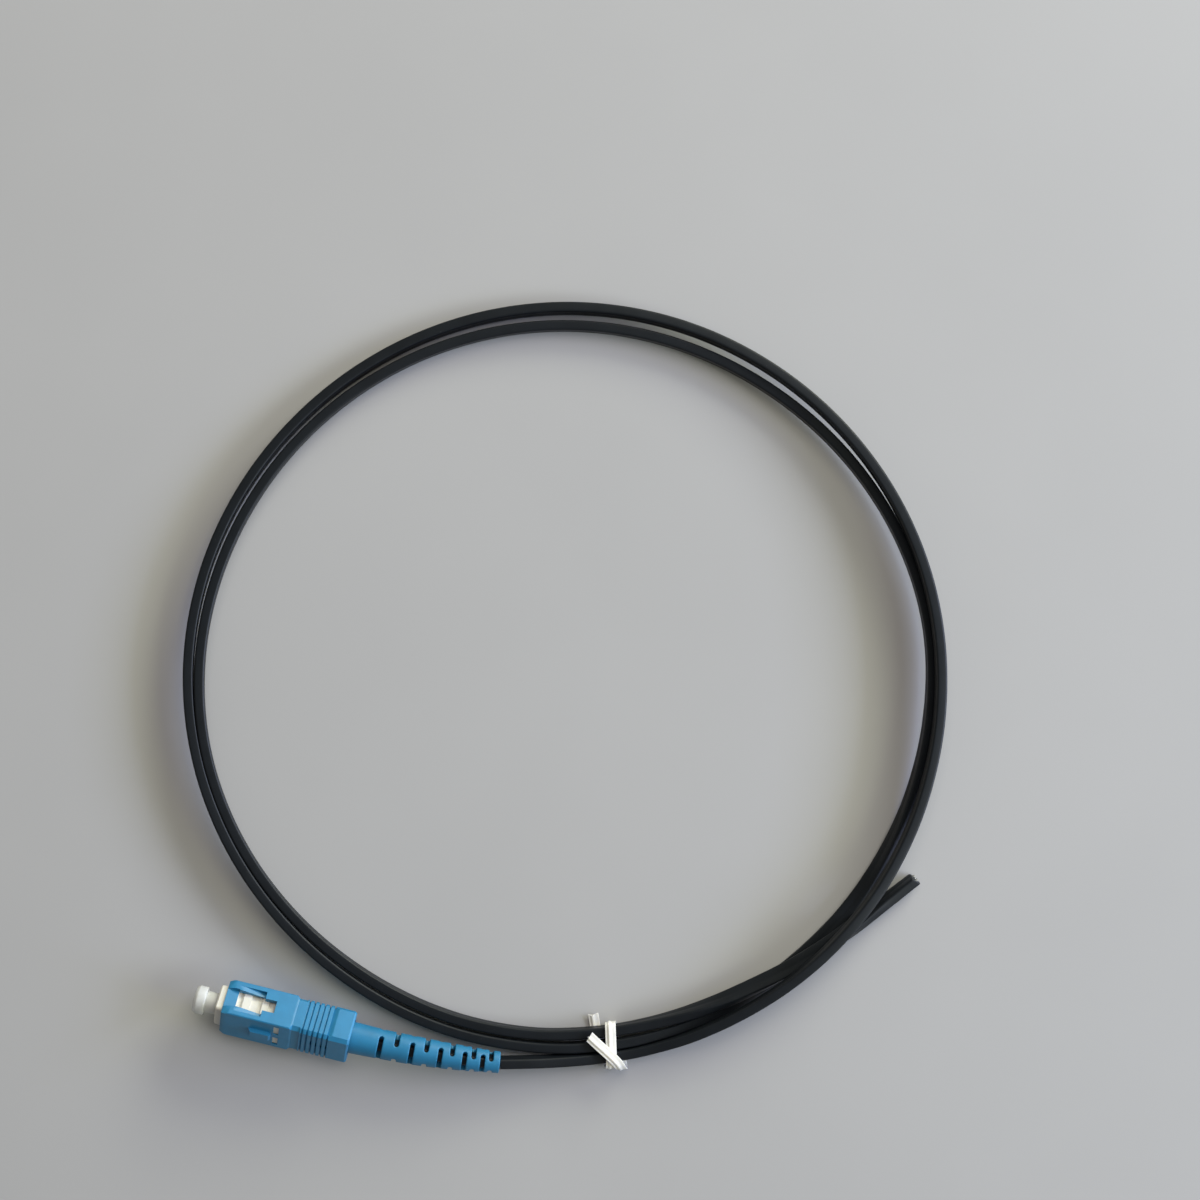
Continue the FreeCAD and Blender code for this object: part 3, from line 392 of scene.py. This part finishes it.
def material(name, base, spread=0.06, rough=0.45, rough_spread=0.08, cloud_mm=3.0, grain_mm=0.12, bump_mm=0.010, bump=0.35,
             speck=0.0, speck_colour=(0.8, 0.8, 0.8), metal=0.0, tint=None, extra=None, scratch=0.0, alpha_extra=None):
    """A procedural plastic, metal or ceramic: soft colour clouds, fine moulded grain, specks."""
    m = bpy.data.materials.new(name)
    m.use_nodes = True
    nt = m.node_tree
    nt.nodes.clear()
    out = nt.nodes.new("ShaderNodeOutputMaterial")
    bsdf = nt.nodes.new("ShaderNodeBsdfPrincipled")
    nt.links.new(bsdf.outputs["BSDF"], out.inputs["Surface"])
    coord = nt.nodes.new("ShaderNodeTexCoord")
    inmm = nt.nodes.new("ShaderNodeVectorMath")
    inmm.operation = "SCALE"
    inmm.inputs["Scale"].default_value = 1000.0
    nt.links.new(coord.outputs["Object"], inmm.inputs[0])

    def noise(size, detail=3.0, roughness=0.55):
        n = nt.nodes.new("ShaderNodeTexNoise")
        n.inputs["Scale"].default_value = 1.0 / size
        n.inputs["Detail"].default_value = detail
        n.inputs["Roughness"].default_value = roughness
        nt.links.new(inmm.outputs[0], n.inputs["Vector"])
        return n.outputs[0]

    def ramp(src, p0, c0, p1, c1):
        r = nt.nodes.new("ShaderNodeValToRGB")
        r.color_ramp.elements[0].position = p0
        r.color_ramp.elements[0].color = (*c0, 1)
        r.color_ramp.elements[1].position = p1
        r.color_ramp.elements[1].color = (*c1, 1)
        nt.links.new(src, r.inputs[0])
        return r.outputs[0]

    cloud = noise(cloud_mm)
    low = tuple(max(0.0, c * (1 - spread)) for c in base)
    high = tuple(min(1.0, c * (1 + spread)) for c in (tint or base))
    colour = ramp(cloud, 0.35, low, 0.65, high)
    grain = noise(grain_mm, 2.0)
    if speck > 0:
        spots = noise(0.35, 1.0)
        mask = ramp(spots, 0.74, (0, 0, 0), 0.78, (speck, speck, speck))
        mix = nt.nodes.new("ShaderNodeMix")
        mix.data_type = "RGBA"
        nt.links.new(mask, mix.inputs[0])
        nt.links.new(colour, mix.inputs[6])
        mix.inputs[7].default_value = (*speck_colour, 1)
        colour = mix.outputs[2]
    nt.links.new(colour, bsdf.inputs["Base Color"])
    rmap = nt.nodes.new("ShaderNodeMapRange")
    rmap.inputs["To Min"].default_value = max(0.02, rough - rough_spread)
    rmap.inputs["To Max"].default_value = min(1.0, rough + rough_spread)
    nt.links.new(noise(cloud_mm * 0.4, 4.0), rmap.inputs["Value"])
    nt.links.new(rmap.outputs[0], bsdf.inputs["Roughness"])
    height = grain
    if scratch > 0:
        stretch = nt.nodes.new("ShaderNodeMapping")
        stretch.inputs["Scale"].default_value = (0.12, 2.2, 2.2)
        nt.links.new(inmm.outputs[0], stretch.inputs["Vector"])
        s = nt.nodes.new("ShaderNodeTexNoise")
        s.inputs["Scale"].default_value = 4.0
        s.inputs["Detail"].default_value = 4.0
        nt.links.new(stretch.outputs[0], s.inputs["Vector"])
        add = nt.nodes.new("ShaderNodeMath")
        add.operation = "MULTIPLY_ADD"
        nt.links.new(s.outputs[0], add.inputs[0])
        add.inputs[1].default_value = scratch
        nt.links.new(grain, add.inputs[2])
        height = add.outputs[0]
    b = nt.nodes.new("ShaderNodeBump")
    b.inputs["Strength"].default_value = bump
    b.inputs["Distance"].default_value = bump_mm * MM
    nt.links.new(height, b.inputs["Height"])
    nt.links.new(b.outputs[0], bsdf.inputs["Normal"])
    bsdf.inputs["Metallic"].default_value = metal
    for k, v in (extra or {}).items():
        bsdf.inputs[k].default_value = v
    return m


blue = material("moulded_blue", (0.0225, 0.198, 0.382), spread=0.05, rough=0.42, rough_spread=0.07, cloud_mm=2.6, grain_mm=0.14,
                bump_mm=0.012, bump=0.45, extra={"Specular IOR Level": 0.52, "Subsurface Weight": 0.06, "Subsurface Radius": (0.2, 0.6, 1.0), "Subsurface Scale": 0.0006})
blue_soft = material("soft_blue", (0.0185, 0.172, 0.325), spread=0.06, rough=0.50, rough_spread=0.07, cloud_mm=3.4, grain_mm=0.18,
                     bump_mm=0.016, bump=0.45, extra={"Subsurface Weight": 0.06, "Subsurface Radius": (0.2, 0.6, 1.0), "Subsurface Scale": 0.0008})
cream = material("cream_plastic", (0.675, 0.66, 0.595), spread=0.03, rough=0.40, rough_spread=0.06, cloud_mm=2.0, grain_mm=0.12,
                 bump_mm=0.008, extra={"Subsurface Weight": 0.15, "Subsurface Radius": (1.0, 0.8, 0.6), "Subsurface Scale": 0.0008})
cap_mat = material("milky_cap", (0.72, 0.735, 0.72), spread=0.02, rough=0.30, rough_spread=0.05, cloud_mm=1.6, grain_mm=0.2,
                   bump_mm=0.010, bump=0.3, extra={"Transmission Weight": 0.22, "IOR": 1.46, "Subsurface Weight": 0.65, "Subsurface Radius": (1.0, 1.0, 1.0), "Subsurface Scale": 0.001})
ceramic = material("zirconia_white", (0.86, 0.84, 0.80), spread=0.01, rough=0.14, rough_spread=0.03, cloud_mm=1.5, grain_mm=0.3,
                   bump_mm=0.002, bump=0.15, extra={"Coat Weight": 0.3, "Coat Roughness": 0.05})
metal_a = material("nickel_plate", (0.56, 0.55, 0.52), spread=0.06, rough=0.26, rough_spread=0.08, cloud_mm=1.2, grain_mm=0.08,
                   bump_mm=0.004, metal=1.0, scratch=0.8)
metal_b = material("crimped_metal", (0.48, 0.47, 0.45), spread=0.08, rough=0.36, rough_spread=0.10, cloud_mm=1.0, grain_mm=0.10,
                   bump_mm=0.008, metal=1.0, scratch=1.2)
metal_c = material("spring_steel", (0.50, 0.49, 0.47), spread=0.06, rough=0.22, rough_spread=0.06, cloud_mm=0.8, grain_mm=0.06,
                   bump_mm=0.003, metal=1.0)
tube_mat = material("guide_tube_white", (0.78, 0.78, 0.76), spread=0.03, rough=0.42, cloud_mm=1.2)
glass = material("glass_strand", (0.92, 0.94, 0.95), spread=0.01, rough=0.06, rough_spread=0.02, grain_mm=0.4, bump_mm=0.001,
                 extra={"Transmission Weight": 0.8, "IOR": 1.46})
coat_mat = material("fibre_lacquer", (0.82, 0.84, 0.86), spread=0.03, rough=0.25, rough_spread=0.05, cloud_mm=0.8, bump_mm=0.002,
                    extra={"Transmission Weight": 0.25})
rod_mat = material("resin_rod", (0.36, 0.36, 0.33), spread=0.12, rough=0.55, cloud_mm=0.25, grain_mm=0.05, bump_mm=0.03, bump=0.6, scratch=0.6)
shred_mat = material("torn_filler", (0.16, 0.165, 0.165), spread=0.35, rough=0.7, cloud_mm=0.3, grain_mm=0.06, bump_mm=0.03, bump=0.7)
tie_mat = material("tie_film_white", (0.86, 0.85, 0.79), spread=0.03, rough=0.30, rough_spread=0.08, cloud_mm=1.0, grain_mm=0.25,
                   bump_mm=0.020, bump=0.5, extra={"Subsurface Weight": 0.2, "Subsurface Radius": (1.0, 0.9, 0.7), "Subsurface Scale": 0.0006, "Coat Weight": 0.2, "Coat Roughness": 0.2})
wire_mat = material("tie_wire_steel", (0.42, 0.41, 0.39), spread=0.10, rough=0.40, cloud_mm=0.5, metal=1.0)
jacket = material("black_jacket", (0.0054, 0.0074, 0.0098), spread=0.12, rough=0.48, rough_spread=0.07, cloud_mm=5.0, grain_mm=0.22,
                  bump_mm=0.020, bump=0.55, speck=0.10, speck_colour=(0.16, 0.17, 0.18), extra={"Specular IOR Level": 0.38, "Sheen Weight": 0.0, "Sheen Roughness": 0.5})

# ------------------------------------------------------------------ carried-over nodes


def clean_group(name, smooth_under):
    """Welds the node's skin and drops its stored normals, then shades it smooth by angle."""
    g = bpy.data.node_groups.new(name, "GeometryNodeTree")
    g.interface.new_socket("Geometry", in_out="INPUT", socket_type="NodeSocketGeometry")
    g.interface.new_socket("Geometry", in_out="OUTPUT", socket_type="NodeSocketGeometry")
    gi, go = g.nodes.new("NodeGroupInput"), g.nodes.new("NodeGroupOutput")
    weld = g.nodes.new("GeometryNodeMergeByDistance")
    weld.inputs["Distance"].default_value = 2e-6
    normal = g.nodes.new("GeometryNodeSetMeshNormal")
    normal.inputs["Remove Custom"].default_value = True
    faces = g.nodes.new("GeometryNodeSetShadeSmooth")
    faces.domain = "FACE"
    edges = g.nodes.new("GeometryNodeSetShadeSmooth")
    edges.domain = "EDGE"
    angle = g.nodes.new("GeometryNodeInputMeshEdgeAngle")
    less = g.nodes.new("FunctionNodeCompare")
    less.data_type = "FLOAT"
    less.operation = "LESS_THAN"
    less.inputs[1].default_value = math.radians(smooth_under)
    g.links.new(gi.outputs[0], weld.inputs["Geometry"])
    g.links.new(weld.outputs[0], normal.inputs["Mesh"])
    g.links.new(normal.outputs[0], faces.inputs["Geometry"])
    g.links.new(faces.outputs[0], edges.inputs["Geometry"])
    g.links.new(angle.outputs["Unsigned Angle"], less.inputs[0])
    g.links.new(less.outputs[0], edges.inputs["Shade Smooth"])
    g.links.new(edges.outputs[0], go.inputs[0])
    return g


weld_group = clean_group("weld_skin", 30.0)
shade_group = clean_group("shade_skin", 38.0)


def dress(name, mat, bevel_mm=0.0, segments=2, limit=28.0):
    """Gives a CAD node its material and softened edges."""
    o = nodes[name]
    o.data.materials.clear()
    o.data.materials.append(mat)
    w = o.modifiers.new("weld", "NODES")
    w.node_group = weld_group
    if bevel_mm:
        d = o.modifiers.new("flatten", "DECIMATE")
        d.decimate_type = "DISSOLVE"
        d.angle_limit = math.radians(0.6)
        b = o.modifiers.new("edges", "BEVEL")
        b.width = bevel_mm * MM
        b.segments = segments
        b.limit_method = "ANGLE"
        b.angle_limit = math.radians(limit)
        b.use_clamp_overlap = True
        b.miter_outer = "MITER_ARC"
        s = o.modifiers.new("shade", "NODES")
        s.node_group = shade_group
        n = o.modifiers.new("normals", "WEIGHTED_NORMAL")
        n.keep_sharp = True
        n.weight = 80
    return o


dress("grip_housing", blue, 0.045, 2)
dress("plug_frame", cream, 0.06, 2)
dress("dust_cap", cap_mat, 0.05, 2, 40.0)
dress("ferrule", ceramic)
dress("ferrule_flange", metal_a)
dress("guide_tube", tube_mat)
dress("bare_fibre", glass)
dress("stop_ring", metal_a)
dress("crimp_sleeve", metal_b)
dress("coated_fibre", coat_mat)
dress("strength_rods", rod_mat)
dress("cable_in_boot", jacket)

boot = dress("boot", blue_soft)
rm = boot.modifiers.new("skin", "REMESH")
rm.mode = "VOXEL"
rm.voxel_size = 0.115 * MM
rm.use_smooth_shade = True
sm = boot.modifiers.new("soften", "SMOOTH")
sm.factor = 0.5
sm.iterations = 3
dc = boot.modifiers.new("lighten", "DECIMATE")
dc.decimate_type = "COLLAPSE"
dc.ratio = 0.40

# ------------------------------------------------------------------ new pieces join the frame
for piece, mat, slot_name, stands_for in (
        (cable, jacket, "cable_jacket", ("cable_lead", "cable_coil", "cable_tail")),
        (rod_low, rod_mat, "rod_resin", ("tail_rods",)),
        (rod_high, rod_mat, "rod_resin", ()),
        (fibre_end, coat_mat, "fibre_coating", ("tail_fibre",)),
        (shreds, shred_mat, "rod_resin", ()),
        (tie_strip, tie_mat, "tie_film", ("tie_strip",)),
        (tie_wire, wire_mat, "tie_wire", ("tie_wire",)),
        (float_spring, metal_c, "spring_wire", ("spring",))):
    piece.data.materials.append(mat)
    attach(piece, "plug_core")
    if stands_for:
        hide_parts(*stands_for)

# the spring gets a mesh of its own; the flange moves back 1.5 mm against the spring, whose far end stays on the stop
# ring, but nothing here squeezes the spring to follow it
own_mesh(float_spring)

# ------------------------------------------------------------------ floor
bm = bmesh.new()
bmesh.ops.create_grid(bm, x_segments=60, y_segments=60, size=9.0)
floor_mesh = bpy.data.meshes.new("floor")
bm.to_mesh(floor_mesh)
bm.free()
floor = link(bpy.data.objects.new("floor", floor_mesh))
floor.location = (0.03, 0.09, 0.0)
floor_mat = material("pale_surface", (0.42, 0.42, 0.42), spread=0.012, rough=0.62, rough_spread=0.04, cloud_mm=60.0, grain_mm=0.6, bump_mm=0.010, bump=0.25)
floor.data.materials.append(floor_mat)


# ------------------------------------------------------------------ light
def area(name, toward, distance, width, height, power, colour):
    data = bpy.data.lights.new(name, "AREA")
    data.shape = "RECTANGLE"
    data.size = width
    data.size_y = height
    data.energy = power
    data.color = colour
    obj = link(bpy.data.objects.new(name, data))
    d = Vector(toward).normalized()
    aim = Vector((0.027, 0.093, 0.0))
    obj.location = aim + d * distance
    obj.rotation_euler = (-d).to_track_quat("-Z", "Y").to_euler()
    obj.visible_camera = False
    return obj


area("window_near", (0.9, 0.224, 0.375), 1.35, 1.05, 0.38, 20.0, (0.60, 0.68, 1.0))
area("window_far", (0.377, 0.847, 0.375), 1.35, 0.80, 0.45, 15.4, (0.98, 1.0, 0.84))
area("window_low", (0.801, -0.113, 0.588), 1.35, 0.60, 0.45, 4.0, (0.95, 1.0, 0.70))
ceiling = area("ceiling", (0.041, 0.468, 0.883), 1.30, 0.90, 0.90, 6.8, (1.0, 0.92, 0.83))
ceiling.visible_glossy = False

world = bpy.data.worlds.new("room")
world.use_nodes = True
bg = world.node_tree.nodes["Background"]
bg.inputs[0].default_value = (1.0, 0.98, 0.96, 1.0)
bg.inputs[1].default_value = 0.16
scene.world = world
scene.view_settings.view_transform = "Standard"
scene.view_settings.look = "None"
scene.view_settings.exposure = 0.0
scene.view_settings.gamma = 1.0

# ------------------------------------------------------------------ end
bpy.context.view_layer.update()
